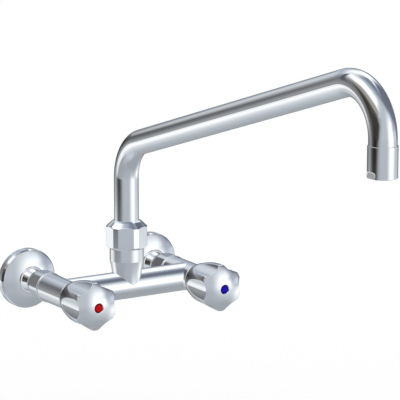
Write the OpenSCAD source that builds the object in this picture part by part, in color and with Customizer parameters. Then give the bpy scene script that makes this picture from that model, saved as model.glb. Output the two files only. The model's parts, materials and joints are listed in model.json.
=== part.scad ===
// Commercial wall faucet: two wall inlets, a crossbar mixing body with two compression valves
// under fluted knobs, and a long swivelling tube spout.
// X runs along the wall, +Y points into the wall and +Z is up. The origin is the midpoint
// between the two inlets, on the wall, at the height of the crossbar's axis.

/* [Wall connection] */
// Distance between the centres of the two inlets
inlet_centres = 150; // [130:1:170]
// Radius of a wall flange
flange_r = 31.8; // [29:0.1:36]
// Depth of the straight rim of a flange
flange_rim = 7; // [5:0.5:8]
// Distance from the wall to the front of a flange
flange_depth = 15.3; // [14:0.1:18]
// Thickness of the pressed flange
flange_wall = 1.2; // [0.8:0.1:1.5]
// Radius of the thread that screws into the wall
wall_thread_r = 10.48; // [9.5:0.01:11]
// Length of that thread behind the wall
wall_thread_l = 15; // [10:1:20]
// Radius of the connector's neck
neck_r = 12; // [11.7:0.1:12.4]
// Length of neck that shows between flange and union nut
neck_show = 16; // [8:1:22]
// Radius of the waterway through a connector
inlet_bore_r = 8; // [6:0.1:9]

/* [Union nuts] */
// Radius of the thread between connector and union nut
union_thread_r = 13.2; // [12.8:0.1:13.4]
// Distance across the flats of a union nut
union_flats = 29; // [28.6:0.1:30]
// Radius to which the corners of a union nut are turned
union_r = 15.7; // [15.2:0.1:16.4]
// Length of a union nut
union_l = 25; // [22:0.5:30]

/* [Mixing body] */
// Distance from the wall to the axis of the crossbar
bar_offset = 85.8; // [82:0.1:100]
// Radius of the crossbar
bar_r = 14.7; // [13.5:0.1:14.8]
// Radius of the waterway in the crossbar
bar_bore_r = 8.2; // [6:0.1:8.4]
// Radius of an arm where it leaves its union nut
arm_r = 15.2; // [15:0.1:16]
// Radius of the boss that holds the valve bonnet
boss_r = 14.7; // [14.6:0.1:15.4]
// Length of the boss in front of the crossbar's axis
boss_reach = 17.7; // [16.5:0.1:20]
// Radius of the thread of the valve bonnet
bonnet_thread_r = 10; // [9.6:0.1:10.2]

/* [Spout socket] */
// Radius of the spout socket
socket_r = 17.9; // [17.2:0.1:18.3]
// Height of the edge where the socket starts to taper
socket_crease = 27; // [20:0.5:30]
// Height of the socket's shoulder, under the spout nut
socket_top = 39.5; // [36:0.5:44]
// Radius of the spout tail that turns in the socket
tail_r = 12.4; // [12:0.1:12.8]
// Distance across the flats of the spout nut
spout_nut_flats = 37.4; // [36.5:0.1:40]
// Height of the hexagon of the spout nut
spout_nut_hex = 22.9; // [21:0.5:28]
// Height of the cone on top of the spout nut
spout_nut_cone = 7.3; // [6:0.1:9]

/* [Spout] */
// Radius of the spout tube
tube_r = 12.9; // [12.8:0.1:13.2]
// Wall thickness of the spout tube
tube_wall = 1.2; // [0.8:0.1:1.6]
// Height at which the first bend starts
column_h = 113.6; // [90:1:200]
// Radius of both bends, at the middle of the tube
bend_r = 45; // [36:1:60]
// Distance from the column's axis to the outlet's axis
reach = 445; // [200:1:500]
// Angle at which the spout rises, in degrees
rise = 16.77; // [0:0.01:25]
// Radius of the outlet sleeve
outlet_r = 13.7; // [13.5:0.1:14.5]
// Length of the outlet sleeve
outlet_l = 28.8; // [24:0.1:34]
// Distance across the two spanner flats of the outlet sleeve
outlet_flats = 24.4; // [23.6:0.1:25.4]

/* [Knobs] */
// Largest radius of a knob
knob_r = 24.7; // [23:0.1:27]
// Length of a knob
knob_l = 55.5; // [52:0.5:60]
// Number of flutes round a knob
flute_count = 6; // [5:1:8]
// Radius of a flute
flute_r = 22; // [14:0.5:30]
// Depth of a flute at the knob's widest place
flute_depth = 4.3; // [2:0.1:5]
// Radius of the domed front of a knob
dome_r = 45; // [38:1:60]
// Radius of the coloured index button
index_r = 5; // [4.6:0.1:6]

/* [Valves] */
// Radius of the hole in the valve seat
seat_r = 5.5; // [4:0.1:5.8]
// Lift of the plunger between closed and fully open
lift = 3.5; // [2:0.1:4]
// Radius of the spindle
spindle_r = 4.5; // [4:0.1:4.8]

/* [Hidden] */
$fn = 72;

// Gap between a turned piece and the hole that it turns or screws in
fit = 0.05;
// Gap between neighbours that don't touch
gap = 0.3;
// How far a cut runs past the surface that it opens
over = 1;

// Flange: the bevel at its rim, the bead at its neck and the sleeve on the connector
flange_bevel_r = 1.5;
flange_bevel_l = 2.5;
bead_r = 1.1;
sleeve_wall = 1.1;
sleeve_l = 7;
flange_hole_r = neck_r + fit;
bead_ring_r = flange_hole_r + sleeve_wall;
dome_foot = [flange_r - flange_bevel_r, flange_rim + flange_bevel_l];
dome_head = [bead_ring_r, flange_depth];
// Centre of the flange's dome, on its axis, and the dome's radius
flange_dome_y = (dome_head * dome_head - dome_foot * dome_foot) / (2 * (dome_head[1] - dome_foot[1]));
flange_dome_r = norm(dome_foot - [0, flange_dome_y]);

// Places along an inlet's axis, measured outwards from the wall
neck_start = flange_depth - sleeve_l;
nut_back = flange_depth + neck_show;
nut_front = nut_back + union_l;
nut_shoulder = 4.4;
nut_collar = 2.6;
nut_taper = 7.5;
nut_nose_wall = 1.2;
nut_collar_inset = 0.2;
nut_edge = 0.5;
tail_flange_l = 2.5;
tail_neck_r = union_thread_r - 1.7;
tail_flange_r = union_thread_r - gap;
inlet_washer_l = 1.5;
tail_flange_front = nut_front - nut_shoulder - fit;
tail_end = tail_flange_front - tail_flange_l;
connector_end = tail_end - inlet_washer_l;
thread_runout = 1.5;
wall_thread_relief = 1.2;
arm_back = nut_front + gap;
boss_end = bar_offset + boss_reach;
boss_edge = 0.6;

// Valve seat and the chamber in front of it
web_l = 4;
seat_lip_l = 1.5;
seat_lip_wall = 1.7;
seat_top = bar_offset - bar_bore_r - 0.1;
web_front = seat_top - seat_lip_l;
web_back = web_front - web_l;
chamber_r = bonnet_thread_r - 0.9;
bonnet_thread_l = 14.5;
bonnet_back = boss_end - bonnet_thread_l;

// Bonnet, spindle and plunger
gasket_l = 1;
bonnet_hex_l = 2.5;
bonnet_hex_r = bonnet_thread_r + 1.7;
gland_r = spindle_r + 3;
bonnet_top = boss_end + 12.5;
plunger_flats = 11;
plunger_hex_r = plunger_flats / sqrt(3);
spindle_collar_r = plunger_flats / 2 - 0.1;
spindle_collar_l = 2;
spindle_collar_back = boss_end - 2.7;
spindle_collar_front = spindle_collar_back + spindle_collar_l;
thread_r = spindle_r - 1.1;
seat_washer_l = 3;
seat_washer_r = seat_r + seat_lip_wall + 0.4;
plunger_disc_l = 2;
plunger_back = seat_top + seat_washer_l;
plunger_front = spindle_collar_back - lift - 0.8;
plunger_bore_back = plunger_back + 2.5;
spindle_back = plunger_bore_back + lift + 1;
spindle_front = boss_end + 28.5;
spline_l = 13;
spline_r = spindle_r - 0.5;
seal_groove_y = boss_end + 5.5;
seal_groove_l = 2;
seal_groove_r = spindle_r - 1.3;
clip_l = 1;
clip_y = bonnet_top + 0.1;
clip_groove_r = spindle_r - 0.6;
clip_r = spindle_r + 1.8;
washer_screw_r = 1.5;
washer_screw_head_r = 2.8;
washer_screw_head_l = 1.2;

// Knob: stations along its axis and the circles that its outline is made of
knob_back = boss_end + 0.4;
knob_front = knob_back + knob_l;
knob_widest = knob_front - 9.4;
knob_side_r = 127;
knob_edge_r = 2.2;
knob_shoulder_r = 10;
knob_opening_r = bonnet_hex_r + 0.4;
knob_cavity_r = knob_r - flute_depth - 3;
knob_cavity_front = knob_front - 14;
knob_cavity_back = knob_back + 12;
hub_r = spline_r + 3.2;
hub_back = spindle_front - spline_l + gap;
knob_screw_r = 2.5;
knob_screw_head_r = index_r - 0.9;
knob_screw_head_l = 3;
knob_screw_l = 12;
hub_web_l = 5.5;
screw_seat = spindle_front + hub_web_l;
index_recess_l = 4;
index_l = 3.6;
index_step = 0.5;
side_centre = [knob_r - knob_side_r, knob_widest];
dome_centre = [0, knob_front - dome_r];

// Spout nut, spout tail and the socket that they close
socket_taper_inset = 0.1;
socket_edge = 0.8;
socket_flare = socket_r - bar_r + socket_taper_inset;
socket_arc_r = (pow(socket_crease, 2) + pow(socket_flare, 2)) / (2 * socket_flare);
socket_neck_r = socket_r - 1.4;
socket_neck_l = 16;
socket_floor = 20;
column_bore_r = 8;
spout_nut_bottom = socket_top + 0.5;
spout_nut_top = spout_nut_bottom + spout_nut_hex + spout_nut_cone;
spout_nut_corner_r = spout_nut_flats / sqrt(3);
spout_nut_turned = 0.4;
spout_nut_rim_r = spout_nut_corner_r - spout_nut_turned;
spout_nut_chamfer_r = 2.8;
spout_nut_chamfer_l = 3.5;
spout_nut_lip = 0.35;
spout_nut_phase = 21;
socket_neck_top = socket_top + socket_neck_l;
tail_collar_bottom = socket_neck_top + 1;
tail_collar_l = 3;
tail_collar_r = socket_neck_r - 0.6;
tail_collar_top = tail_collar_bottom + tail_collar_l;
tail_bore_r = 9.2;
tail_plug_l = 12;
tail_bottom = socket_floor + 1;
slip_ring_l = 2.2;
slip_ring_bottom = tail_collar_top + 0.1;
slip_ring_top = slip_ring_bottom + slip_ring_l;
spout_seal_l = 2.6;
spout_seal_depth = 1.5;
spout_seal_z = [socket_crease + 1, socket_top + 5];

// Spout tube: its straight stretches and the centres of its two bends
tube_foot = tail_collar_top;
arm_l = (reach - 2 * bend_r) / cos(rise);
bend_one_centre = [0, -bar_offset - bend_r, column_h];
bend_two_centre = [0, -bar_offset - reach + bend_r, column_h + arm_l * sin(rise)];
outlet_drop = 4;
tube_end = bend_two_centre[2] - outlet_drop;
tube_bore_r = tube_r - tube_wall;
// The tube draws a little thinner in a bend, and the straight stretches reach into the bends
bend_draw = 0.1;
bend_lap = 0.5;

// Outlet sleeve and the aerator in it
outlet_edge = 0.8;
outlet_top = tube_end - 0.1;
outlet_bottom = outlet_top - outlet_l;
outlet_flat_h = 6;
outlet_flat_round = 3;
outlet_lip_l = 1.5;
outlet_lip_wall = 4;
outlet_thread_r = outlet_r - 2.7;
bush_bore_r = outlet_thread_r - 2.2;
bush_l = 12.5;
bush_bottom = tube_end - bush_l;
bush_plug_l = outlet_drop - 0.2;
aerator_washer_l = 2;
aerator_screen_l = 0.6;
aerator_r = outlet_thread_r - 0.1;
aerator_top = bush_bottom - aerator_washer_l - aerator_screen_l;
aerator_bottom = outlet_bottom + outlet_lip_l + 0.1;
aerator_waist_l = 3;
aerator_hole_r = 1.35;
aerator_pitch = 3.1;
aerator_rings = 2;
screen_hole_r = 0.7;
screen_pitch = 2.2;
screen_rings = 3;

chrome = [0.84, 0.86, 0.88];
brass = [0.78, 0.62, 0.32];
rubber = [0.12, 0.12, 0.13];
plastic = [0.92, 0.92, 0.9];
steel = [0.66, 0.67, 0.69];

// Turns a piece that is drawn along +Z so that it points away from the wall at one inlet
module at_inlet(side) {
    translate([side * inlet_centres / 2, 0, 0]) rotate([90, 0, 0]) children();
}

module at_column() {
    translate([0, -bar_offset, 0]) children();
}

module at_outlet() {
    translate([0, -bar_offset - reach, 0]) children();
}

// A straight round piece between two places on its axis
module rod(r, from, to) {
    translate([0, 0, from]) cylinder(r = r, h = to - from);
}

module ring(outer, inner, from, to) {
    difference() {
        rod(outer, from, to);
        rod(inner, from - over, to + over);
    }
}

// Sealing ring of round section that fills a groove
module seal_ring(outer, section, middle) {
    rotate_extrude() translate([outer - section, middle]) circle(r = section);
}

// Holes on a hexagonal grid, inside a number of rings
module hex_grid(rings, pitch) {
    for (row = [-rings : rings])
        for (col = [-rings + max(0, -row) : rings - max(0, row)])
            translate([pitch * (col + row / 2), pitch * row * sqrt(3) / 2, 0]) children();
}

module wall_flange() color(chrome) rotate_extrude() difference() {
    union() {
        intersection() {
            polygon([[flange_hole_r, 0], [flange_r, 0], [flange_r, flange_rim], dome_foot,
                     [dome_foot[0], flange_depth + over], [flange_hole_r, flange_depth + over]]);
            translate([0, flange_dome_y]) circle(r = flange_dome_r, $fn = 180);
        }
        translate([flange_hole_r, neck_start]) square([sleeve_wall, sleeve_l]);
        translate([bead_ring_r, flange_depth]) circle(r = bead_r);
    }
    intersection() {
        translate([flange_hole_r + sleeve_wall, -over])
            square([flange_r - flange_wall - flange_hole_r - sleeve_wall, flange_depth + over]);
        translate([0, flange_dome_y]) circle(r = flange_dome_r - flange_wall, $fn = 180);
    }
    translate([0, -over]) square([flange_hole_r + sleeve_wall, neck_start + over]);
    square([flange_hole_r, flange_depth + 2 * bead_r]);
}

module wall_connector() color(chrome) difference() {
    union() {
        rod(wall_thread_r, -wall_thread_l, 0);
        rod(wall_thread_r - wall_thread_relief, -over, neck_start + over);
        rod(neck_r, neck_start, nut_back + thread_runout);
        rod(union_thread_r, nut_back + thread_runout, connector_end);
    }
    rod(inlet_bore_r, -wall_thread_l - over, connector_end + over);
}

module inlet_washer() color(rubber)
    ring(tail_flange_r, inlet_bore_r + gap, connector_end, tail_end);

module union_nut() color(chrome) difference() {
    union() {
        intersection() {
            rotate_extrude() polygon([
                [0, nut_back], [union_thread_r + nut_nose_wall, nut_back],
                [union_r, nut_back + nut_taper], [union_r, nut_front - nut_collar],
                [0, nut_front - nut_collar]]);
            translate([0, 0, nut_back]) cylinder(r = union_flats / sqrt(3), h = union_l, $fn = 6);
        }
        rotate_extrude() polygon([
            [0, nut_front - nut_collar], [union_r - nut_collar_inset, nut_front - nut_collar],
            [union_r - nut_collar_inset, nut_front - nut_edge],
            [union_r - nut_collar_inset - nut_edge, nut_front], [0, nut_front]]);
    }
    rod(union_thread_r + fit, nut_back - over, nut_front - nut_shoulder);
    rod(tail_neck_r + fit, nut_back, nut_front + over);
}

// Outside of one arm: the tail behind the union nut, the tapered arm and the boss
module arm_outside() rotate_extrude() polygon([
    [0, tail_end], [tail_flange_r, tail_end], [tail_flange_r, tail_flange_front],
    [tail_neck_r, tail_flange_front], [tail_neck_r, arm_back], [arm_r, arm_back],
    [boss_r, boss_end - boss_edge], [boss_r - boss_edge, boss_end], [0, boss_end]]);

// Waterway of one arm: inlet, seat with its raised lip, valve chamber and bonnet thread
module arm_inside() {
    rod(inlet_bore_r + gap, tail_end - over, web_back);
    rod(seat_r, web_back - over, web_front + over);
    difference() {
        rod(chamber_r, web_front, bonnet_back);
        ring(seat_r + seat_lip_wall, seat_r, web_front - over, seat_top);
    }
    rod(bonnet_thread_r, bonnet_back, boss_end + over);
}

// Outside of the spout socket: a flared foot that grows out of the crossbar, a straight
// band and the neck that carries the spout nut
module socket_outside() rotate_extrude() union() {
    difference() {
        square([socket_r, socket_crease]);
        translate([bar_r - socket_taper_inset + socket_arc_r, 0])
            circle(r = socket_arc_r, $fn = 360);
    }
    polygon([[0, socket_crease], [socket_r, socket_crease], [socket_r, socket_top - socket_edge],
             [socket_r - socket_edge, socket_top], [socket_neck_r, socket_top],
             [socket_neck_r, socket_neck_top], [0, socket_neck_top]]);
}

module mixer_body() color(chrome) difference() {
    union() {
        for (side = [-1, 1]) at_inlet(side) arm_outside();
        at_column() rotate([0, 90, 0])
            translate([0, 0, -inlet_centres / 2]) cylinder(r = bar_r, h = inlet_centres);
        at_column() socket_outside();
    }
    for (side = [-1, 1]) at_inlet(side) arm_inside();
    at_column() rotate([0, 90, 0])
        translate([0, 0, -inlet_centres / 2]) cylinder(r = bar_bore_r, h = inlet_centres);
    at_column() rod(column_bore_r, 0, socket_floor + over);
    at_column() rod(tail_r + fit, socket_floor, socket_neck_top + over);
}

module bonnet_gasket() color(rubber)
    ring(bonnet_hex_r - 2 * fit, bonnet_thread_r + fit, boss_end, boss_end + gasket_l);

module valve_bonnet() color(brass) difference() {
    union() {
        rod(bonnet_thread_r - fit, bonnet_back + gap, boss_end + gasket_l);
        translate([0, 0, boss_end + gasket_l]) cylinder(r = bonnet_hex_r, h = bonnet_hex_l, $fn = 6);
        rod(gland_r, boss_end + gasket_l, bonnet_top);
    }
    translate([0, 0, bonnet_back]) cylinder(r = plunger_hex_r + 2 * fit,
        h = spindle_collar_back - fit - bonnet_back, $fn = 6);
    rod(spindle_collar_r + fit, spindle_collar_back - gap, spindle_collar_front + fit);
    rod(spindle_r + fit, spindle_collar_front, bonnet_top + over);
}

module plunger() color(brass) difference() {
    union() {
        rod(seat_washer_r, plunger_back, plunger_back + plunger_disc_l);
        translate([0, 0, plunger_back + plunger_disc_l]) cylinder(r = plunger_hex_r,
            h = plunger_front - plunger_back - plunger_disc_l, $fn = 6);
    }
    rod(thread_r + fit, plunger_bore_back, plunger_front + over);
    rod(washer_screw_r, plunger_back - over, plunger_bore_back + over);
}

module seat_washer() color(rubber)
    ring(seat_washer_r, washer_screw_r + fit, seat_top, plunger_back);

module washer_screw() color(brass) {
    rod(washer_screw_head_r, seat_top - washer_screw_head_l, seat_top);
    rod(washer_screw_r - fit, seat_top, plunger_bore_back);
}

module spindle() color(brass) difference() {
    union() {
        rod(thread_r, spindle_back, spindle_collar_back);
        rod(spindle_collar_r, spindle_collar_back, spindle_collar_front);
        rod(spindle_r, spindle_collar_front, spindle_front - spline_l);
        translate([0, 0, spindle_front - spline_l]) cylinder(r = spline_r, h = spline_l, $fn = 12);
    }
    ring(spindle_r + over, seal_groove_r, seal_groove_y, seal_groove_y + seal_groove_l);
    ring(spindle_r + over, clip_groove_r, clip_y, clip_y + clip_l);
    rod(knob_screw_r, screw_seat - knob_screw_l - gap, spindle_front + over);
}

module spindle_seal() color(rubber) seal_ring(spindle_r, (spindle_r - seal_groove_r) / 2,
    seal_groove_y + seal_groove_l / 2);

// Open spring clip in the spindle's groove
module spindle_clip() color(steel) difference() {
    ring(clip_r, clip_groove_r + fit, clip_y + fit / 2, clip_y + clip_l - fit / 2);
    translate([-clip_groove_r * 0.7, 0, clip_y - over])
        cube([clip_groove_r * 1.4, clip_r + over, clip_l + 2 * over]);
}

// Point where two circles cross, on the side further from the axis
function circles_meet(a, ra, b, rb) =
    let (d = norm(b - a), u = (b - a) / d,
         along = (ra * ra - rb * rb + d * d) / (2 * d),
         across = sqrt(ra * ra - along * along))
    a + along * u + across * [max(u[1], -u[1]), u[1] > 0 ? -u[0] : u[0]];

// Point at a distance from a centre, towards another point
function beyond(centre, point, distance) = centre + distance * (point - centre) / norm(point - centre);

edge_centre = circles_meet(dome_centre, dome_r - knob_edge_r, side_centre, knob_side_r - knob_edge_r);
edge_on_dome = beyond(dome_centre, edge_centre, dome_r);
edge_on_side = beyond(side_centre, edge_centre, knob_side_r);
shoulder_centre = [side_centre[0] + sqrt(pow(knob_side_r - knob_shoulder_r, 2)
                       - pow(knob_widest - knob_back - knob_shoulder_r, 2)),
                   knob_back + knob_shoulder_r];
shoulder_on_side = beyond(side_centre, shoulder_centre, knob_side_r);

// Half outline of a knob before fluting: a flat back with a round shoulder, a long bulging
// side, a small round edge and a domed front
module knob_outline() {
    intersection() {
        translate([0, knob_back]) square([knob_r, knob_l]);
        polygon([[0, knob_back], [shoulder_centre[0], knob_back], shoulder_on_side,
                 [knob_r + over, knob_widest], edge_on_side + [over, 0], edge_on_side,
                 edge_on_dome, edge_on_dome + [0, over], [0, knob_front + over]]);
        translate(side_centre) circle(r = knob_side_r, $fn = 720);
        translate(dome_centre) circle(r = dome_r, $fn = 360);
    }
    translate(edge_centre) circle(r = knob_edge_r);
    intersection() {
        translate([0, knob_back]) square([knob_r, knob_l]);
        translate(shoulder_centre) circle(r = knob_shoulder_r, $fn = 180);
    }
}

module knob() color(chrome) difference() {
    rotate_extrude() knob_outline();
    // Flutes, cut parallel to the axis
    for (k = [0 : flute_count - 1]) rotate([0, 0, k * 360 / flute_count])
        translate([knob_r - flute_depth + flute_r, 0, 0])
            cylinder(r = flute_r, h = knob_front + over, $fn = 180);
    // Hollow inside, round the hub
    difference() {
        rotate_extrude() polygon([
            [0, knob_back - over], [knob_opening_r, knob_back - over],
            [knob_opening_r, knob_back + gasket_l + bonnet_hex_l],
            [knob_cavity_r, knob_cavity_back], [knob_cavity_r, knob_cavity_front],
            [0, knob_cavity_front]]);
        rod(hub_r, hub_back, knob_front);
    }
    translate([0, 0, hub_back - over]) cylinder(r = spline_r + fit,
        h = spindle_front + fit - hub_back + over, $fn = 12);
    rod(knob_screw_r + fit, spindle_front, screw_seat + over);
    rod(knob_screw_head_r + fit, screw_seat, knob_front + over);
    rod(index_r + fit, knob_front - index_recess_l, knob_front + over);
}

module knob_screw() color(steel) difference() {
    union() {
        rod(knob_screw_r - fit, screw_seat - knob_screw_l, screw_seat);
        rod(knob_screw_head_r, screw_seat, screw_seat + knob_screw_head_l);
    }
    translate([0, 0, screw_seat + knob_screw_head_l / 2])
        cylinder(r = knob_screw_head_r / 2, h = knob_screw_head_l, $fn = 6);
}

// Button with a slightly domed face, pressed into the front of the knob
module index_button() rotate_extrude() intersection() {
    translate([0, knob_front - index_recess_l]) square([index_r, index_l]);
    translate([0, knob_front - index_recess_l + index_l - index_r * 3])
        circle(r = index_r * 3, $fn = 180);
}

module spout_nut() color(chrome) at_column() difference() {
    intersection() {
        rotate_extrude() polygon([
            [0, spout_nut_bottom], [spout_nut_rim_r - spout_nut_chamfer_r, spout_nut_bottom],
            [spout_nut_rim_r, spout_nut_bottom + spout_nut_chamfer_l],
            [spout_nut_rim_r, spout_nut_bottom + spout_nut_hex],
            [tube_r + spout_nut_lip + gap, spout_nut_top], [0, spout_nut_top]]);
        translate([0, 0, spout_nut_bottom]) rotate([0, 0, spout_nut_phase])
            cylinder(r = spout_nut_corner_r, h = spout_nut_hex + spout_nut_cone, $fn = 6);
    }
    rod(socket_neck_r + fit, spout_nut_bottom - over, slip_ring_top + 2 * fit);
    rod(tube_r + gap, spout_nut_bottom, spout_nut_top + over);
}

module spout_slip_ring() color(plastic) at_column()
    ring(socket_neck_r - gap, tube_r + fit, slip_ring_bottom, slip_ring_top);

module spout_tail() color(brass) at_column() difference() {
    union() {
        rod(tail_r, tail_bottom, tail_collar_bottom);
        rod(tail_collar_r, tail_collar_bottom, tail_collar_top);
        rod(tube_bore_r, tail_collar_top, tail_collar_top + tail_plug_l);
    }
    rod(tail_bore_r, tail_bottom - over, tail_collar_top + tail_plug_l + over);
    for (z = spout_seal_z)
        ring(tail_r + over, tail_r - spout_seal_depth, z - spout_seal_l / 2, z + spout_seal_l / 2);
}

module spout_seal(z) color(rubber) at_column() seal_ring(tail_r, spout_seal_depth / 2, z);

// Turns what is drawn in the XY plane into the plane of the spout, starting at one angle
module in_spout_plane(centre, from)
    translate(centre) rotate([0, 90, 0]) rotate([0, 0, from]) children();

// Straight stretch between two places along the tube, measured from where a bend starts
module run(r, from, to) translate([bend_r, to, 0]) rotate([90, 0, 0]) cylinder(r = r, h = to - from);

module bend(r, turn) rotate_extrude(angle = turn) translate([bend_r, 0]) circle(r = r - bend_draw);

// The whole line of the spout at one radius; past is how far it overruns both ends
module spout_line(r, past) {
    in_spout_plane(bend_one_centre, 90) run(r, tube_foot - column_h - past, bend_lap);
    in_spout_plane(bend_one_centre, 90) bend(r, 90 - rise);
    in_spout_plane(bend_two_centre, 180 - rise) run(r, -arm_l - bend_lap, bend_lap);
    in_spout_plane(bend_two_centre, 180 - rise) bend(r, 90 + rise);
    in_spout_plane(bend_two_centre, 270) run(r, -bend_lap, outlet_drop + past);
}

module spout_tube() color(chrome) difference() {
    spout_line(tube_r, 0);
    spout_line(tube_bore_r, over);
}

module outlet_bush() color(brass) at_outlet() difference() {
    union() {
        rod(outlet_thread_r - fit, bush_bottom, tube_end);
        rod(tube_bore_r, tube_end, tube_end + bush_plug_l);
    }
    rod(bush_bore_r, bush_bottom - over, tube_end + bush_plug_l + over);
}

// Spanner flat: a slot-shaped cutter with round upper corners, laid against one side
module spanner_flat(side) translate([side * outlet_flats / 2, 0, outlet_bottom])
    rotate([90, 0, 90 * side]) linear_extrude(outlet_r) {
        translate([-outlet_r, -over]) square([2 * outlet_r, outlet_flat_h - outlet_flat_round + over]);
        for (x = [-1, 1]) translate([x * outlet_flat_round, outlet_flat_h - outlet_flat_round])
            circle(r = outlet_flat_round);
        translate([-outlet_flat_round, 0]) square([2 * outlet_flat_round, outlet_flat_h]);
    }

module outlet_sleeve() color(chrome) at_outlet() difference() {
    rotate_extrude() polygon([
        [0, outlet_bottom], [outlet_r - outlet_edge / 2, outlet_bottom],
        [outlet_r, outlet_bottom + outlet_edge / 2], [outlet_r, outlet_top - outlet_edge],
        [outlet_r - outlet_edge, outlet_top], [0, outlet_top]]);
    rod(outlet_thread_r, outlet_bottom + outlet_lip_l, outlet_top + over);
    rod(outlet_r - outlet_lip_wall, outlet_bottom - over, outlet_top);
    for (side = [-1, 1]) spanner_flat(side);
}

module aerator_washer() color(rubber) at_outlet()
    ring(aerator_r, bush_bore_r, bush_bottom - aerator_washer_l, bush_bottom);

module aerator_screen() color(steel) at_outlet() difference() {
    rod(aerator_r, aerator_top, aerator_top + aerator_screen_l);
    translate([0, 0, aerator_top - over]) hex_grid(screen_rings, screen_pitch)
        cylinder(r = screen_hole_r, h = aerator_screen_l + 2 * over, $fn = 6);
}

module aerator_insert() color(plastic) at_outlet() difference() {
    union() {
        rod(aerator_r, aerator_top - aerator_waist_l, aerator_top);
        rod(outlet_r - outlet_lip_wall - gap, aerator_bottom, aerator_top);
    }
    translate([0, 0, aerator_bottom - over]) hex_grid(aerator_rings, aerator_pitch)
        cylinder(r = aerator_hole_r, h = aerator_top - aerator_bottom + 2 * over, $fn = 6);
}

mixer_body();
at_inlet(-1) wall_flange();  // wall_flange_hot
at_inlet(1) wall_flange();  // wall_flange_cold
at_inlet(-1) wall_connector();  // wall_connector_hot
at_inlet(1) wall_connector();  // wall_connector_cold
at_inlet(-1) union_nut();  // union_nut_hot
at_inlet(1) union_nut();  // union_nut_cold
at_inlet(-1) inlet_washer();  // inlet_washer_hot
at_inlet(1) inlet_washer();  // inlet_washer_cold
at_inlet(-1) valve_bonnet();  // valve_bonnet_hot
at_inlet(1) valve_bonnet();  // valve_bonnet_cold
at_inlet(-1) bonnet_gasket();  // bonnet_gasket_hot
at_inlet(1) bonnet_gasket();  // bonnet_gasket_cold
at_inlet(-1) spindle();  // spindle_hot
at_inlet(1) spindle();  // spindle_cold
at_inlet(-1) spindle_seal();  // spindle_seal_hot
at_inlet(1) spindle_seal();  // spindle_seal_cold
at_inlet(-1) spindle_clip();  // spindle_clip_hot
at_inlet(1) spindle_clip();  // spindle_clip_cold
at_inlet(-1) plunger();  // plunger_hot
at_inlet(1) plunger();  // plunger_cold
at_inlet(-1) seat_washer();  // seat_washer_hot
at_inlet(1) seat_washer();  // seat_washer_cold
at_inlet(-1) washer_screw();  // washer_screw_hot
at_inlet(1) washer_screw();  // washer_screw_cold
at_inlet(-1) knob();  // knob_hot
at_inlet(1) knob();  // knob_cold
at_inlet(-1) knob_screw();  // knob_screw_hot
at_inlet(1) knob_screw();  // knob_screw_cold
color("red") at_inlet(-1) index_button();  // index_button_hot
color("blue") at_inlet(1) index_button();  // index_button_cold
spout_nut();
spout_slip_ring();
spout_tube();
spout_tail();
spout_seal(spout_seal_z[0]);  // spout_seal_lower
spout_seal(spout_seal_z[1]);  // spout_seal_upper
outlet_bush();
outlet_sleeve();
aerator_washer();
aerator_screen();
aerator_insert();
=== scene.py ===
# Commercial wall faucet: looks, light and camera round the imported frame.
# Lengths are worked out in millimetres and turned into metres where a mesh is made.
import json
import math

import bmesh
import bpy
import numpy as np
from mathutils import Matrix, Vector


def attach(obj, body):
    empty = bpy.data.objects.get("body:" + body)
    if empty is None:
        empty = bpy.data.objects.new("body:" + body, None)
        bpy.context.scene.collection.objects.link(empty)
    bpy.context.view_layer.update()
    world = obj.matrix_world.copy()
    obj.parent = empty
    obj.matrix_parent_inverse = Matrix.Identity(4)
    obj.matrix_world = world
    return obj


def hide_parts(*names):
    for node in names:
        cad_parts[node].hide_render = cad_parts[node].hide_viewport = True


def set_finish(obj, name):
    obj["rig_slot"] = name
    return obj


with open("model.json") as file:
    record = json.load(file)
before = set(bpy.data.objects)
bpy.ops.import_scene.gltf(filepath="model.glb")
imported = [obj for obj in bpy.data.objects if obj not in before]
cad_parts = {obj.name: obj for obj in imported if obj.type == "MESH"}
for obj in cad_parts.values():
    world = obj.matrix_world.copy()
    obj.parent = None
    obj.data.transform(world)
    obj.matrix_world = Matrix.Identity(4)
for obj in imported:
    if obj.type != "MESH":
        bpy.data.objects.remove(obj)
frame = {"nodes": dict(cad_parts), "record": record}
nodes = frame["nodes"]
scene = bpy.context.scene
MM = 0.001


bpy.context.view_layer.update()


# Main places and sizes, as the frame has them
INLET = {"hot": -75.0, "cold": 75.0}
BAR = 85.8
REACH = 445.0
RISE = math.radians(16.77)
BEND = 45.0
COLUMN = 113.6
TUBE_R = 12.9
SLEEVE_R = 13.7

# A sixth of a turn, and a radius so large that it limits nothing
SIXTH = np.pi / 3
NO_LIMIT = 1e3

# Roundings of an outline: the steps in each, the most of a side that one takes, and the point
# close beside each one that keeps the flat faces' shading flat
ROUND_STEPS = 6
MOST_OF_SIDE = 0.45
SUPPORT, SUPPORT_SHARE = 0.06, 0.2


def angle(centre, point):
    d = point - centre
    return math.atan2(d[1], d[0])


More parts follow.
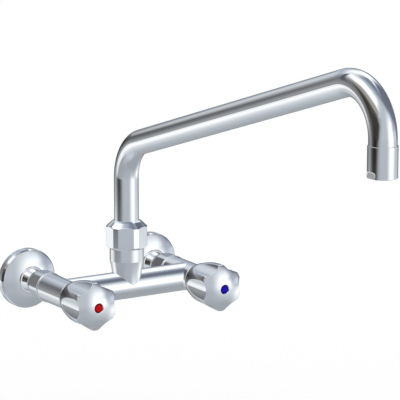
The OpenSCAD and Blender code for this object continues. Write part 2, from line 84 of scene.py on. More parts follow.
# An outline with its corners rounded: each is (radius, place along the axis, rounding)
def rounded(points):
    out = []
    for i, (r, t, k) in enumerate(points):
        p = np.array([r, t], float)
        if k <= 0 or i in (0, len(points) - 1):
            out.append(p)
            continue
        a = np.array(points[i - 1][:2], float) - p
        b = np.array(points[i + 1][:2], float) - p
        la, lb = np.linalg.norm(a), np.linalg.norm(b)
        a, b = a / la, b / lb
        half = math.acos(max(-1, min(1, float(a @ b)))) / 2
        cut = min(k / math.tan(half), MOST_OF_SIDE * la, MOST_OF_SIDE * lb)
        k = cut * math.tan(half)
        mid = a + b
        centre = p + mid / np.linalg.norm(mid) * (k / math.sin(half))
        p0, p1 = p + a * cut, p + b * cut
        ang0, ang1 = angle(centre, p0), angle(centre, p1)
        turn = (ang1 - ang0 + math.pi) % (2 * math.pi) - math.pi
        out.append(p0 + a * min(SUPPORT, SUPPORT_SHARE * (la - cut)))
        for j in range(ROUND_STEPS + 1):
            ang = ang0 + turn * j / ROUND_STEPS
            out.append(centre + k * np.array([math.cos(ang), math.sin(ang)]))
        out.append(p1 + b * min(SUPPORT, SUPPORT_SHARE * (lb - cut)))
    return np.array(out)


# An outline with points added, so that none is further than a step from the next
def dense(outline, step):
    out = [outline[0]]
    for p, q in zip(outline[:-1], outline[1:]):
        n = max(1, int(math.ceil(np.linalg.norm(q - p) / step)))
        out += [p + (q - p) * j / n for j in range(1, n + 1)]
    return np.array(out)


def arc(centre, r, a0, a1, n):
    t = np.linspace(a0, a1, n)
    return np.stack([centre[0] + r * np.cos(t), centre[1] + r * np.sin(t)], -1)


# The smaller of two values, with the change from one to the other rounded over k
def soft_min(a, b, k):
    h = np.clip(0.5 + 0.5 * (b - a) / k, 0, 1)
    return b * (1 - h) + a * h - k * h * (1 - h)


# Frames that a turned outline is placed in
def inlet_frame(x):
    def place(r, t, ang):
        return np.stack([x + r * np.cos(ang), -t, r * np.sin(ang)], -1)
    return place


def column_frame(y):
    def place(r, t, ang):
        return np.stack([r * np.cos(ang), y + r * np.sin(ang), t], -1)
    return place


# The crossbar's ends are cut to the round of the arms, just inside their surface
BAR_END_R = 14.3


def bar_frame(r, t, ang):
    end = INLET["cold"] - np.sqrt(np.maximum(BAR_END_R ** 2 - (r * np.sin(ang)) ** 2, 0))
    return np.stack([t * end / INLET["cold"], -BAR + r * np.cos(ang), r * np.sin(ang)], -1)


pieces = []


# A piece from rows of points, each row a closed ring
def grid_mesh(name, pts, body, slot, replaces):
    rows, cols = pts.shape[:2]
    verts = (pts * MM).reshape(-1, 3)
    a = np.arange(cols)
    b = (a + 1) % cols
    faces = []
    for i in range(rows - 1):
        start = i * cols
        ring = [start + a, start + b, start + cols + b, start + cols + a]
        faces += np.stack(ring, -1).tolist()
    me = bpy.data.meshes.new(name)
    me.from_pydata(verts.tolist(), [], faces)
    me.validate()
    me.polygons.foreach_set("use_smooth", [True] * len(me.polygons))
    ob = bpy.data.objects.new(name, me)
    scene.collection.objects.link(ob)
    bm = bmesh.new()
    bm.from_mesh(me)
    bmesh.ops.remove_doubles(bm, verts=bm.verts, dist=1e-7)
    bmesh.ops.recalc_face_normals(bm, faces=bm.faces)
    bm.to_mesh(me)
    bm.free()
    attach(ob, body)
    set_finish(ob, slot)
    if replaces:
        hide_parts(*replaces)
    pieces.append(ob)


# A piece turned from an outline. A limit gives the largest radius at each point, for flats
# and flutes, and its edges are rounded over soft.
def turned(name, outline, place, body, replaces=(), cols=192, limit=None, soft=0.5,
           slot="chrome"):
    ang = np.linspace(0, 2 * np.pi, cols, endpoint=False)
    r = np.repeat(outline[:, :1], cols, 1)
    t = np.repeat(outline[:, 1:], cols, 1)
    a = np.repeat(ang[None], len(outline), 0)
    if limit is not None:
        r = soft_min(r, limit(a, t, r), soft)
    grid_mesh(name, place(np.maximum(r, 0), t, a), body, slot, replaces)


# Angle from the nearest of six directions, the first of which is given
def from_sixth(a, first=0.0):
    return (a - first + SIXTH / 2) % SIXTH - SIXTH / 2


def hexagon(flats, first, end):
    def limit(a, t, r):
        h = flats / 2 / np.cos(from_sixth(a, first))
        return np.where(t < end, h, NO_LIMIT)
    return limit


# Six flats whose corners are cut by six narrower flats
def bevelled_hexagon(flats, bevels, first):
    def limit(a, t, r):
        d = np.abs(from_sixth(a, first))
        return np.minimum(flats / 2 / np.cos(d), bevels / 2 / np.cos(SIXTH / 2 - d))
    return limit


# Half-inch pipe thread on the wall end of a connector: its pitch, the radius over its crests,
# its depth, the share of the pitch that a crest and a flank take, and where it ends
PITCH, CREST_R, THREAD_DEPTH = 1.814, 10.48, 1.16
CREST, FLANK = 0.15, 0.7
THREAD_END, THREAD_INSIDE_R = 1.2, 8.6


def pipe_thread(a, t, r):
    phase = (t / PITCH + a / (2 * np.pi)) % 1.0
    depth = np.clip((np.abs(phase - 0.5) * 2 - CREST) / FLANK, 0, 1)
    threaded = (t < THREAD_END) & (r > THREAD_INSIDE_R)
    return np.where(threaded, CREST_R - THREAD_DEPTH * depth, NO_LIMIT)


# Wall flange: a rim, a domed face up to the radius of its neck, a bead round the connector,
# and a hollow behind. Face and hollow are of one centre on the axis.
FACE_R, HOLLOW_R, DOME_CENTRE = 68.42, 66.7, -51.84
FOOT_R, HEAD_R, NECK_R = 30.2, 13.2, 14.1


def dome_point(r, a):
    return r * math.sin(a), DOME_CENTRE + r * math.cos(a)


def flange_outline():
    foot, head = math.asin(FOOT_R / FACE_R), math.asin(HEAD_R / FACE_R)
    dome = [dome_point(FACE_R, a) for a in np.linspace(foot, head, 24)]
    top = DOME_CENTRE + FACE_R * math.cos(math.asin(NECK_R / FACE_R))
    front = rounded([(30.6, 0.05, 0), (31.8, 0.05, 0.25), (31.8, 7.0, 1.2), (*dome[0], 0.6)]
                    + [(*p, 0.0) for p in dome[1:-1]] + [(NECK_R, top, 0.15)])
    bead = arc((13.15, 15.3), 1.1, -0.15, math.pi, 14)
    under = [dome_point(HOLLOW_R, a) for a in np.linspace(math.asin(13 / HOLLOW_R), 0.445, 16)]
    under = [(12.05, 14.3), (12.3, 13.7)] + under
    under += [(30.2, 7.2), (30.45, 6.4), (30.45, 0.4), (30.6, 0.05)]
    return np.vstack([front, bead, np.array(under)])


# Connector: its bore and wall end, the thread, and the collar that narrows to the union nut
def connector_outline():
    back = rounded([(8.0, 54.0, 0), (8.0, -14.97, 0.3), (9.3, -14.97, 0.2),
                    (10.55, -13.7, 0.2), (10.55, -13.2, 0)])
    screw = dense(np.array([(10.55, -13.1), (10.55, 1.0)]), 0.14)
    neck = rounded([(10.5, 1.1, 0), (9.28, 2.0, 0.2), (9.28, 8.3, 0.6), (12.0, 8.9, 0.4),
                    (12.0, 15.2, 0.5), (9.9, 22.9, 1.4), (8.4, 24.2, 0.2), (8.4, 36.0, 0)])
    return np.vstack([dense(back[:3], 6), dense(back[3:], 0.2), screw, dense(neck, 2)])


# Union nut: its hexagon ends where the bead ring in front of it starts
UNION_FLATS, UNION_HEX_END = 29.0, 54.1


def union_nut_outline():
    nut = dense(rounded([(8.5, 33.2, 0), (14.2, 33.2, 0.5), (15.7, 38.0, 1.0),
                         (15.7, UNION_HEX_END, 0.1), (15.0, 54.2, 0.1)]), 0.5)
    ring = arc((14.75, 55.3), 1.05, math.pi * 1.42, math.pi * 2.5, 16)
    return np.vstack([nut, ring, [(12.0, 56.4)]])


for side, x in INLET.items():
    place = inlet_frame(x)
    turned("flange_" + side, flange_outline(), place, "mixer", ["wall_flange_" + side],
           cols=256)
    turned("connector_" + side, connector_outline(), place, "mixer",
           ["wall_connector_" + side], cols=144, limit=pipe_thread, soft=0.08)
    turned("nut_" + side, union_nut_outline(), place, "mixer", ["union_nut_" + side],
           cols=288, limit=hexagon(UNION_FLATS, math.pi / 6, UNION_HEX_END), soft=0.25)

# Mixing body: two arms, the crossbar and the spout socket, whose cup flares in one arc
for side, x in INLET.items():
    arm = rounded([(11.5, 56.62, 0), (15.2, 56.62, 0.3), (14.71, 102.9, 0.2),
                   (14.1, 103.5, 0.2), (10.1, 103.5, 0)])
    turned("arm_" + side, dense(arm, 6), inlet_frame(x), "mixer")
bar = rounded([(14.7, INLET["hot"], 0), (14.7, INLET["cold"], 0)])
turned("crossbar", dense(bar, 10), bar_frame, "mixer", ["mixer_body"])
FLARE_R, FLARE_CENTRE = 112.1, 126.7
flare = [(FLARE_CENTRE - math.sqrt(FLARE_R ** 2 - z * z), z, 0) for z in np.linspace(0, 26.9, 30)]
cup = rounded(flare + [(17.9, 27, 0.3), (17.9, 40.3, 0.8), (16.5, 40.3, 0)])
turned("socket", dense(cup, 2), column_frame(-BAR), "mixer")

# Spout nut: a hexagon with bevelled corners under a turned cone that closes on the tube
nut = dense(rounded([(16.6, 40.7, 0), (19.4, 40.7, 0.3), (22.2, 43.0, 0.3), (22.2, 62.1, 0.1),
                     (15.4, 68.4, 1.6), (13.3, 69.6, 0.3), (13.0, 69.6, 0)]), 0.5)
turned("nut_spout", nut, column_frame(-BAR), "mixer", ["spout_nut"], cols=480,
       limit=bevelled_hexagon(flats=40.0, bevels=42.6, first=math.radians(58)), soft=0.15)

# Spout tube: a path of (place, turn) up the column, round both bends and down to the outlet,
# where the turn is the angle that the path has turned from straight up
centre_one = np.array([-BAR - BEND, COLUMN])
run = (REACH - 2 * BEND) / math.cos(RISE)
centre_two = np.array([-BAR - REACH + BEND, COLUMN + run * math.sin(RISE)])
tube_end = centre_two[1] - 4.0


def bend(centre, first, last, n):
    return [(centre + BEND * np.array([math.cos(s), math.sin(s)]), s)
            for s in np.linspace(first, last, n)]


path = [((-BAR, z), 0.0) for z in np.linspace(60, COLUMN, 8)[:-1]]
path += bend(centre_one, 0, math.pi / 2 - RISE, 48)
start, s = path[-1]
path += [(start + f * run * np.array([-math.sin(s), math.cos(s)]), s)
         for f in np.linspace(0, 1, 24)[1:-1]]
path += bend(centre_two, math.pi / 2 - RISE, math.pi, 64)
path += [((-BAR - REACH, z), math.pi) for z in np.linspace(centre_two[1], tube_end, 3)[1:]]
phi = np.linspace(0, 2 * np.pi, 128, endpoint=False)[:, None]
rings = []
for (y, z), s in path:
    out, across = np.array([0, math.cos(s), math.sin(s)]), np.array([1.0, 0, 0])
    rings.append(np.array([0, y, z]) + TUBE_R * (np.cos(phi) * out + np.sin(phi) * across))
grid_mesh("spout", np.array(rings), "spout", "chrome", ["spout_tube"])

# Outlet sleeve: two spanner flats with round upper corners, cut in from the lower end. Where
# nothing is cut the limit lies just outside the sleeve.
FLAT_CORNER = 3.0
UNCUT_R = 13.75


def spanner_flats(half, top, soft_top):
    def limit(a, t, r):
        flat = half / np.maximum(np.abs(np.cos(a)), 1e-3)
        across = np.abs(np.sin(a)) * np.minimum(flat, SLEEVE_R)
        beyond = np.maximum(across - FLAT_CORNER, 0)
        corner = np.sqrt(np.maximum(FLAT_CORNER ** 2 - beyond ** 2, 0)) - FLAT_CORNER
        rise = np.clip((t - (top + corner)) / soft_top, 0, 1)
        return np.where(r < half, NO_LIMIT, flat + rise * (UNCUT_R - np.minimum(flat, UNCUT_R)))
    return limit


sleeve_top, sleeve_bottom = tube_end - 0.1, tube_end - 28.9
sleeve = dense(rounded([(9.7, sleeve_bottom + 1.4, 0), (9.7, sleeve_bottom, 0.3),
                        (SLEEVE_R, sleeve_bottom, 0.4), (SLEEVE_R, sleeve_top, 0.45),
                        (TUBE_R, sleeve_top, 0)]), 0.3)
turned("sleeve", sleeve, column_frame(-BAR - REACH), "spout", ["outlet_sleeve"], cols=288,
       limit=spanner_flats(half=12.2, top=sleeve_bottom + 6, soft_top=0.25), soft=0.12)

# Knobs: back and front ends, largest radius and where it is, the radii of the side, the domed
# front, the edge between them and the shoulder, and the six flutes
KNOB_BACK, KNOB_FRONT, KNOB_R, WIDEST = 103.9, 159.4, 24.7, 150.0
SIDE_R, DOME_R, EDGE_R, SHOULDER_R = 127.0, 45.0, 2.2, 10.0
FLUTE_R, FLUTE_DEPTH = 22.0, 4.3
INDEX_HOLE_R = 5.45


# Where two circles meet, on the side away from the axis
def meet(a, ra, b, rb):
    d = np.linalg.norm(b - a)
    u = (b - a) / d
    along = (ra * ra - rb * rb + d * d) / (2 * d)
    across = math.sqrt(ra * ra - along * along)
    p = [a + along * u + s * across * np.array([-u[1], u[0]]) for s in (1, -1)]
    return max(p, key=lambda q: q[0])


def knob_outline():
    side = np.array([KNOB_R - SIDE_R, WIDEST])
    dome = np.array([0, KNOB_FRONT - DOME_R])
    edge = meet(dome, DOME_R - EDGE_R, side, SIDE_R - EDGE_R)
    rise = WIDEST - KNOB_BACK - SHOULDER_R
    shoulder = np.array([side[0] + math.sqrt((SIDE_R - SHOULDER_R) ** 2 - rise ** 2),
                         KNOB_BACK + SHOULDER_R])
    to_side, to_edge, to_dome = angle(side, shoulder), angle(side, edge), angle(dome, edge)
    to_hole = math.acos(INDEX_HOLE_R / DOME_R)
    rim = dome[1] + DOME_R * math.sin(to_hole)
    return np.vstack([
        [[12.1, KNOB_BACK + 4.0], [12.1, KNOB_BACK + 0.06], [12.18, KNOB_BACK],
         [12.3, KNOB_BACK]],
        arc(shoulder, SHOULDER_R, -math.pi / 2, to_side, 24),
        arc(side, SIDE_R, to_side, to_edge, 90)[1:],
        arc(edge, EDGE_R, to_edge, to_dome, 16)[1:],
        arc(dome, DOME_R, to_dome, to_hole, 60)[1:],
        [[5.4, rim - 0.01], [5.3, rim - 0.06], [5.1, rim - 0.3], [5.06, rim - 0.4],
         [5.06, rim - 1.4]]])


def flutes(a, t, r):
    d = from_sixth(a)
    far = KNOB_R - FLUTE_DEPTH + FLUTE_R
    root = np.maximum(FLUTE_R * FLUTE_R - (far * np.sin(d)) ** 2, 0.0)
    return far * np.cos(d) - np.sqrt(root)


# Index button: a low round cap
CAP_TOP, CAP_R, CAP_EDGE_R = 159.0, 15.0, 4.95


def index_outline():
    cap = arc((0, CAP_TOP - CAP_R), CAP_R, math.acos(CAP_EDGE_R / CAP_R), math.pi / 2, 12)
    foot = cap[0][1]
    return np.vstack([[[5.0, 155.5], [5.0, foot - 0.15], [4.99, foot - 0.05]], cap])


for side, x in INLET.items():
    place, body = inlet_frame(x), side + "_handle"
    turned("knob_shell_" + side, knob_outline(), place, body, ["knob_" + side],
           cols=432, limit=flutes)
    turned("index_" + side, index_outline(), place, body, ["index_button_" + side],
           cols=96, slot="red_index" if side == "hot" else "blue_index")


# Materials: every one has colour variation, worn edges, uneven roughness and a fine bump
class Tree:
    def __init__(self, name):
        self.material = bpy.data.materials.new(name)
        self.material.use_nodes = True
        self.tree = self.material.node_tree
        self.shader = self.tree.nodes["Principled BSDF"]
        self.co = self.add("ShaderNodeTexCoord").outputs["Object"]

    # A node: set_NAME sets a property, iN the input at place N, and the rest inputs by name
    def add(self, kind, **values):
        n = self.tree.nodes.new(kind)
        for key, value in values.items():
            if key.startswith("set_"):
                setattr(n, key[4:], value)
        for key, value in values.items():
            if not key.startswith("set_"):
                self.put(value, n.inputs[int(key[1:])] if key[1:].isdigit() else n.inputs[key])
        return n

    def put(self, value, socket):
        if isinstance(value, bpy.types.NodeSocket):
            self.tree.links.new(value, socket)
        else:
            socket.default_value = value

    def noise(self, scale, detail=4.0, distortion=0.0, stretch=None):
        co = self.co
        if stretch:
            co = self.add("ShaderNodeMapping", Vector=co, Scale=stretch).outputs[0]
        return self.add("ShaderNodeTexNoise", Vector=co, Scale=scale, Detail=detail,
                        Distortion=distortion).outputs[0]

    # A value from the span a to b brought to another span
    def span(self, value, a, b, to_a, to_b):
        n = self.add("ShaderNodeMapRange", Value=value)
        for key, v in (("From Min", a), ("From Max", b), ("To Min", to_a), ("To Max", to_b)):
            n.inputs[key].default_value = v
        return n.outputs[0]

    def sum(self, a, b, op="ADD"):
        return self.add("ShaderNodeMath", set_operation=op, i0=a, i1=b).outputs[0]

    def mix(self, fac, a, b):
        n = self.add("ShaderNodeMix", set_data_type="RGBA")
        for value, socket in ((fac, n.inputs[0]), (a, n.inputs[6]), (b, n.inputs[7])):
            self.put((*value, 1) if isinstance(value, tuple) else value, socket)
        return n.outputs[2]

    # One on the sharp edges and nought elsewhere
    def edges(self, radius):
        bevel = self.add("ShaderNodeBevel", set_samples=4, Radius=radius)
        flat = self.add("ShaderNodeNewGeometry").outputs["Normal"]
        dot = self.add("ShaderNodeVectorMath", set_operation="DOT_PRODUCT",
                       i0=bevel.outputs[0], i1=flat)
        return self.span(dot.outputs["Value"], 0.995, 0.9, 0.0, 1.0)

    def bump(self, height, distance, strength=1.0):
        n = self.add("ShaderNodeBump", Height=height, Distance=distance, Strength=strength)
        self.put(n.outputs[0], self.shader.inputs["Normal"])

    def finish(self, colour, rough, metallic):
        self.put(colour, self.shader.inputs["Base Color"])
        self.put(rough, self.shader.inputs["Roughness"])
        self.shader.inputs["Metallic"].default_value = metallic
        return self.material


def chrome(name):
    t = Tree(name)
    cloud, smudge, grain = t.noise(28, 5), t.noise(70, 6, 0.6), t.noise(900, 2)
    worn = t.edges(0.0005)
    worn = t.sum(worn, t.span(t.noise(240, 3), 0.45, 0.7, 0.2, 1.0), "MULTIPLY")
    colour = t.mix(t.span(cloud, 0.3, 0.7, 0.0, 1.0), (0.845, 0.86, 0.88), (0.875, 0.88, 0.89))
    colour = t.mix(t.span(worn, 0.0, 1.0, 0.0, 0.25), colour, (0.8, 0.8, 0.8))
    rough = t.sum(t.span(smudge, 0.5, 0.8, 0.022, 0.05), t.span(grain, 0.3, 0.7, 0.0, 0.01))
    rough = t.sum(rough, t.span(worn, 0.0, 1.0, 0.0, 0.06))
    t.bump(t.noise(110, 2), 0.000004)
    return t.finish(colour, rough, 1.0)


def brass(name):
    t = Tree(name)
    cloud, fine = t.noise(90, 5), t.noise(700, 3)
    rings = t.add("ShaderNodeTexWave", set_bands_direction="Y", Vector=t.co, Scale=420.0,
                  Distortion=0.6, Detail=2.0)
    worn = t.edges(0.0004)
    colour = t.mix(t.span(cloud, 0.3, 0.7, 0.0, 1.0), (0.74, 0.51, 0.2), (0.83, 0.62, 0.29))
    colour = t.mix(t.span(worn, 0.0, 1.0, 0.0, 0.5), colour, (0.9, 0.74, 0.42))
    rough = t.sum(t.span(cloud, 0.3, 0.8, 0.2, 0.34), t.span(fine, 0.3, 0.7, -0.03, 0.04))
    t.bump(t.sum(rings.outputs[1], fine), 0.00002, 0.5)
    return t.finish(colour, rough, 1.0)


def steel(name):
    t = Tree(name)
    brushed = t.noise(260, 4, 0.0, (1.0, 14.0, 14.0))
    cloud = t.noise(60, 4)
    worn = t.edges(0.0003)
    colour = t.mix(t.span(cloud, 0.3, 0.7, 0.0, 1.0), (0.55, 0.56, 0.58), (0.65, 0.66, 0.67))
    colour = t.mix(t.span(worn, 0.0, 1.0, 0.0, 0.5), colour, (0.75, 0.75, 0.75))
    rough = t.span(brushed, 0.3, 0.7, 0.18, 0.34)
    t.bump(brushed, 0.00001, 0.5)
    return t.finish(colour, rough, 1.0)


def rubber(name):
    t = Tree(name)
    cloud, pores = t.noise(120, 5), t.noise(1500, 3)
    worn = t.edges(0.0004)
    colour = t.mix(t.span(cloud, 0.35, 0.75, 0.0, 1.0), (0.022, 0.022, 0.024),
                   (0.045, 0.044, 0.043))
    colour = t.mix(t.span(worn, 0.0, 1.0, 0.0, 0.6), colour, (0.09, 0.088, 0.085))
    rough = t.sum(t.span(cloud, 0.3, 0.8, 0.55, 0.72), t.span(pores, 0.3, 0.7, -0.04, 0.06))
    t.bump(pores, 0.00003, 0.6)
    return t.finish(colour, rough, 0.0)


def plastic(name):
    t = Tree(name)
    cloud, fine = t.noise(80, 4), t.noise(1200, 2)
    worn = t.edges(0.0004)
    colour = t.mix(t.span(cloud, 0.3, 0.7, 0.0, 1.0), (0.78, 0.78, 0.74), (0.85, 0.85, 0.82))
    colour = t.mix(t.span(worn, 0.0, 1.0, 0.0, 0.4), colour, (0.9, 0.9, 0.88))
    rough = t.sum(t.span(cloud, 0.3, 0.8, 0.3, 0.42), t.span(fine, 0.3, 0.7, -0.02, 0.03))
    t.bump(fine, 0.00001, 0.5)
    return t.finish(colour, rough, 0.0)


# An index button: a darker core, the body's colour and a dark rim, round the knob's axis
def index(name, x, core, body, rim):
    t = Tree(name)
    parts = t.add("ShaderNodeSeparateXYZ", i0=t.co).outputs
    off = t.sum(parts[0], -x)
    squares = t.sum(t.sum(off, off, "MULTIPLY"), t.sum(parts[2], parts[2], "MULTIPLY"))
    away = t.sum(squares, 0.5, "POWER")
    away = t.sum(away, t.span(t.noise(700, 3), 0.2, 0.8, -0.00025, 0.00025))
    colour = t.mix(t.span(away, 0.0005, 0.0018, 0.0, 1.0), core, body)
    colour = t.mix(t.span(away, 0.0026, 0.0040, 0.0, 1.0), colour, rim)
    colour = t.mix(t.span(t.edges(0.0003), 0.0, 1.0, 0.0, 0.3), colour, body)
    fine = t.noise(900, 3)
    t.shader.inputs["Specular IOR Level"].default_value = 0.08
    t.bump(fine, 0.00001, 0.4)
    return t.finish(colour, t.span(fine, 0.3, 0.7, 0.25, 0.38), 0.0)


def red(name):
    return index(name, INLET["hot"] * MM, (0.36, 0.0, 0.002), (0.6, 0.0, 0.003),
                 (0.15, 0.0, 0.002))


def blue(name):
    return index(name, INLET["cold"] * MM, (0.006, 0.0, 0.3), (0.012, 0.001, 0.5),
                 (0.003, 0.0, 0.11))


PAINTS = {"chrome": chrome, "brass": brass, "steel": steel, "rubber": rubber,
          "white_plastic": plastic, "red_index": red, "blue_index": blue}
slots = [material["slot"] for material in frame["record"]["materials"]]
made = {slot: PAINTS[slot](slot) for slot in slots}
slot_of = {part["node"]: part["material_slot"] for part in frame["record"]["subparts"]}
for name, ob in nodes.items():
    ob.data.materials.clear()
    ob.data.materials.append(made[slot_of[name]])
for ob in pieces:
    ob.data.materials.append(made[ob["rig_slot"]])

# The polished metal mirrors the studio alone, and not the other pieces
for ob in list(nodes.values()) + pieces:
    ob.visible_glossy = False

# Camera at the photograph's angle: its place along its own right, up and back axes, in metres,
# and its focal length and picture in pixels
AZIMUTH, ELEVATION = math.radians(-31.9414), math.radians(11.63)
PLACE = (0.12185, 0.07373, 2.50989)
FOCAL, PICTURE, SENSOR = 2329.44, 400, 36
back = Vector((math.sin(AZIMUTH) * math.cos(ELEVATION), -math.cos(AZIMUTH) * math.cos(ELEVATION),
               math.sin(ELEVATION)))
right = Vector((math.cos(AZIMUTH), math.sin(AZIMUTH), 0))
up = back.cross(right)
cam_data = bpy.data.cameras.new("camera")
cam = bpy.data.objects.new("camera", cam_data)
scene.collection.objects.link(cam)
cam_data.sensor_width = SENSOR
cam_data.lens = SENSOR * FOCAL / PICTURE
cam_data.clip_start, cam_data.clip_end = 0.1, 50
cam.matrix_world = Matrix.Translation(
    right * PLACE[0] + up * PLACE[1] + back * PLACE[2]) @ Matrix(
    (right, up, back)).transposed().to_4x4()
scene.camera = cam

# Studio: white behind, a plain even light on all that isn't shiny, and for the chrome a ring
# of soft boxes, screens and flags over a gradient. A card is its azimuth (0 in front of the
# wall, 90 to the right), half width and softness, its elevation, half height and softness,
# its slant and its colour. A later card lies over an earlier one.
CARDS = {
    "upper_left_screen": (-55, 31, 63, 44, 23, 12, 0.1, (1.50, 1.52, 1.39)),
    "upper_soft_box": (-114, 50, 64, 55, 19, 17, -1.5, (1.22, 1.24, 1.25)),
    "taupe_screen": (-93, 47, 25, 29, 15, 12, -1.5, (0.39, 0.37, 0.34)),
    "front_screen": (-15, 41, 16, 18, 35, 35, -0.4, (0.55, 0.59, 0.64)),
    "upper_right_screen": (102, 64, 90, 75, 10, 10, 0.5, (0.19, 0.23, 0.31)),
    "slate_screen": (98, 48, 41, 22, 34, 4, 0.2, (0.13, 0.16, 0.21)),
    "front_soft_box": (32, 21, 39, 0, 23, 45, 0.0, (1.49, 1.53, 1.57)),
    "right_screen": (58, 24, 12, 7, 4, 11, 0.3, (0.54, 0.59, 0.67)),
    "right_soft_box": (84, 23, 52, -21, 7, 37, 0.3, (1.44, 1.53, 1.56)),
    "far_right_soft_box": (146, 9, 44, 38, 26, 5, 1.5, (1.53, 1.57, 1.57)),
    "rear_soft_box": (145, 29, 30, 40, 17, 19, -0.4, (1.18, 1.21, 1.23)),
    "far_right_screen": (-156, 21, 8, -31, 19, 4, 0.9, (0.63, 0.66, 0.69)),
    "rear_screen": (161, 18, 7, 26, 8, 17, 0.2, (0.44, 0.50, 0.58)),
    "low_left_soft_box": (-138, 16, 14, -21, 4, 60, 0.0, (1.57, 1.57, 1.57)),
    "low_left_screen": (-133, 45, 76, -64, 21, 31, 0.2, (0.62, 0.67, 0.72)),
    "dark_flag": (-103, 38, 72, 7, 19, 4, -0.7, (0.10, 0.09, 0.08)),
    "rear_flag": (180, 22, 40, 1, 17, 42, -1.0, (0.04, 0.03, 0.03)),
    "rear_dark_strip": (-154, 5, 7, 26, 16, 11, 0.8, (0.11, 0.11, 0.13)),
    "upper_right_flag": (122, 15, 5, 74, 14, 4, 0.1, (0.25, 0.28, 0.35)),
    "right_edge_screen": (68, 15, 4, -3, 6, 7, -0.2, (0.72, 0.78, 0.87)),
    "upper_left_soft_box": (-54, 7, 32, 49, 11, 9, 0.8, (1.18, 1.16, 1.13)),
    "dark_core": (-87, 18, 31, 1, 13, 4, -1.0, (0.02, 0.02, 0.02)),
    "bend_screen": (71, 25, 29, 36, 32, 48, 0.9, (0.17, 0.19, 0.25)),
    "narrow_soft_box": (42, 7, 33, 0, 13, 9, 0.6, (1.23, 1.28, 1.27)),
    "right_strip": (59, 4, 25, 9, 15, 18, 0.1, (0.41, 0.44, 0.54)),
    "olive_flag": (-80, 13, 24, 6, 14, 7, -0.5, (0.05, 0.05, 0.04)),
    "brown_flag": (-113, 15, 19, 11, 9, 7, 0.6, (0.05, 0.05, 0.04)),
    "low_front_screen": (3, 50, 44, -31, 7, 50, -1.1, (0.49, 0.53, 0.58)),
    "upper_front_soft_box": (-42, 18, 70, 69, 4, 34, 1.0, (0.67, 0.79, 0.88)),
    "low_slate_screen": (99, 18, 25, 24, 12, 18, 0.2, (0.16, 0.17, 0.21)),
    "rear_narrow_soft_box": (-151, 9, 6, -13.3, 1.4, 0.8, 0.0, (1.00, 1.03, 1.06)),
}
UNDER, OVER = (0.39, 0.42, 0.45), (0.43, 0.48, 0.55)
HORIZON, HORIZON_HALF = 10, 9
WHITE = (1, 1, 1, 1)


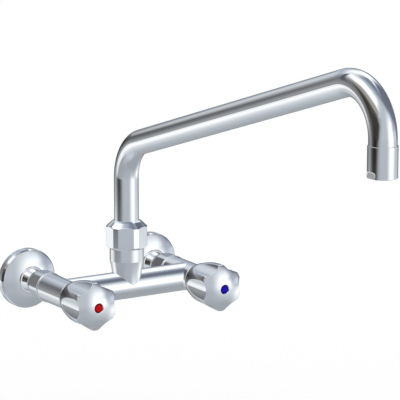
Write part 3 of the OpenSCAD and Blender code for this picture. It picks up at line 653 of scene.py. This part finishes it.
def build_world():
    world = bpy.data.worlds.new("studio")
    scene.world = world
    world.use_nodes = True
    tree = world.node_tree
    tree.nodes.clear()

    def put(value, socket):
        if hasattr(value, "links"):
            tree.links.new(value, socket)
        else:
            socket.default_value = value

    def math_node(op, *values):
        n = tree.nodes.new("ShaderNodeMath")
        n.operation = op
        for value, socket in zip(values, n.inputs):
            put(value, socket)
        return n.outputs[0]

    def ease(value, a, b, to_a, to_b):
        n = tree.nodes.new("ShaderNodeMapRange")
        n.interpolation_type = "SMOOTHSTEP"
        put(value, n.inputs["Value"])
        for key, v in (("From Min", a), ("From Max", b), ("To Min", to_a), ("To Max", to_b)):
            put(v, n.inputs[key])
        return n.outputs["Result"]

    # One inside a card and nought outside it, along one of its two directions
    def inside(value, half, soft):
        distance = math_node("ABSOLUTE", value)
        return ease(distance, half - soft / 2, half + soft / 2, 1, 0)

    def mix(fac, a, b):
        n = tree.nodes.new("ShaderNodeMix")
        n.data_type = "RGBA"
        for socket, value in ((n.inputs[0], fac), (n.inputs[6], a), (n.inputs[7], b)):
            put(value, socket)
        return n.outputs[2]

    xyz = tree.nodes.new("ShaderNodeSeparateXYZ")
    put(tree.nodes.new("ShaderNodeTexCoord").outputs["Generated"], xyz.inputs[0])
    dx, dy, dz = xyz.outputs
    azimuth = math_node("DEGREES", math_node("ARCTAN2", dx, math_node("MULTIPLY", dy, -1.0)))
    elevation = math_node("DEGREES", math_node("ARCSINE", dz))
    over = ease(elevation, HORIZON - HORIZON_HALF, HORIZON + HORIZON_HALF, 0, 1)
    colour = mix(over, (*UNDER, 1), (*OVER, 1))
    for a, half_a, soft_a, e, half_e, soft_e, slant, shade in CARDS.values():
        above = math_node("SUBTRACT", elevation, float(e))
        beside = math_node("SUBTRACT", azimuth, float(a))
        slanted = math_node("ADD", beside, math_node("MULTIPLY", above, slant))
        across = inside(math_node("WRAP", slanted, 180.0, -180.0), half_a, soft_a)
        tall = inside(above, half_e, soft_e)
        colour = mix(math_node("MULTIPLY", across, tall), colour, (*shade, 1))
    path = tree.nodes.new("ShaderNodeLightPath")
    colour = mix(path.outputs["Is Glossy Ray"], WHITE, colour)
    colour = mix(path.outputs["Is Camera Ray"], colour, WHITE)
    out = tree.nodes.new("ShaderNodeBackground")
    put(colour, out.inputs["Color"])
    put(1.0, out.inputs["Strength"])
    end = tree.nodes.new("ShaderNodeOutputWorld")
    put(out.outputs[0], end.inputs[0])


build_world()

# Floor: plain and pale, it keeps the faucet's shadow and lets the chrome see the studio.
# Its half width and its level, in metres
FLOOR_HALF, FLOOR_LEVEL = 6.0, -0.22


def build_floor():
    size, level = FLOOR_HALF, FLOOR_LEVEL
    me = bpy.data.meshes.new("floor")
    me.from_pydata([(-size, -size, level), (size, -size, level), (size, size, level),
                    (-size, size, level)], [], [(0, 1, 2, 3)])
    ob = bpy.data.objects.new("floor", me)
    scene.collection.objects.link(ob)
    m = bpy.data.materials.new("floor")
    m.use_nodes = True
    tree = m.node_tree
    tree.nodes.clear()
    pale = tree.nodes.new("ShaderNodeBsdfDiffuse")
    pale.inputs["Color"].default_value = WHITE
    clear = tree.nodes.new("ShaderNodeBsdfTransparent")
    path = tree.nodes.new("ShaderNodeLightPath")
    mixer = tree.nodes.new("ShaderNodeMixShader")
    out = tree.nodes.new("ShaderNodeOutputMaterial")
    tree.links.new(path.outputs["Is Glossy Ray"], mixer.inputs[0])
    tree.links.new(pale.outputs[0], mixer.inputs[1])
    tree.links.new(clear.outputs[0], mixer.inputs[2])
    tree.links.new(mixer.outputs[0], out.inputs[0])
    me.materials.append(m)


build_floor()

scene.view_settings.view_transform = "Standard"
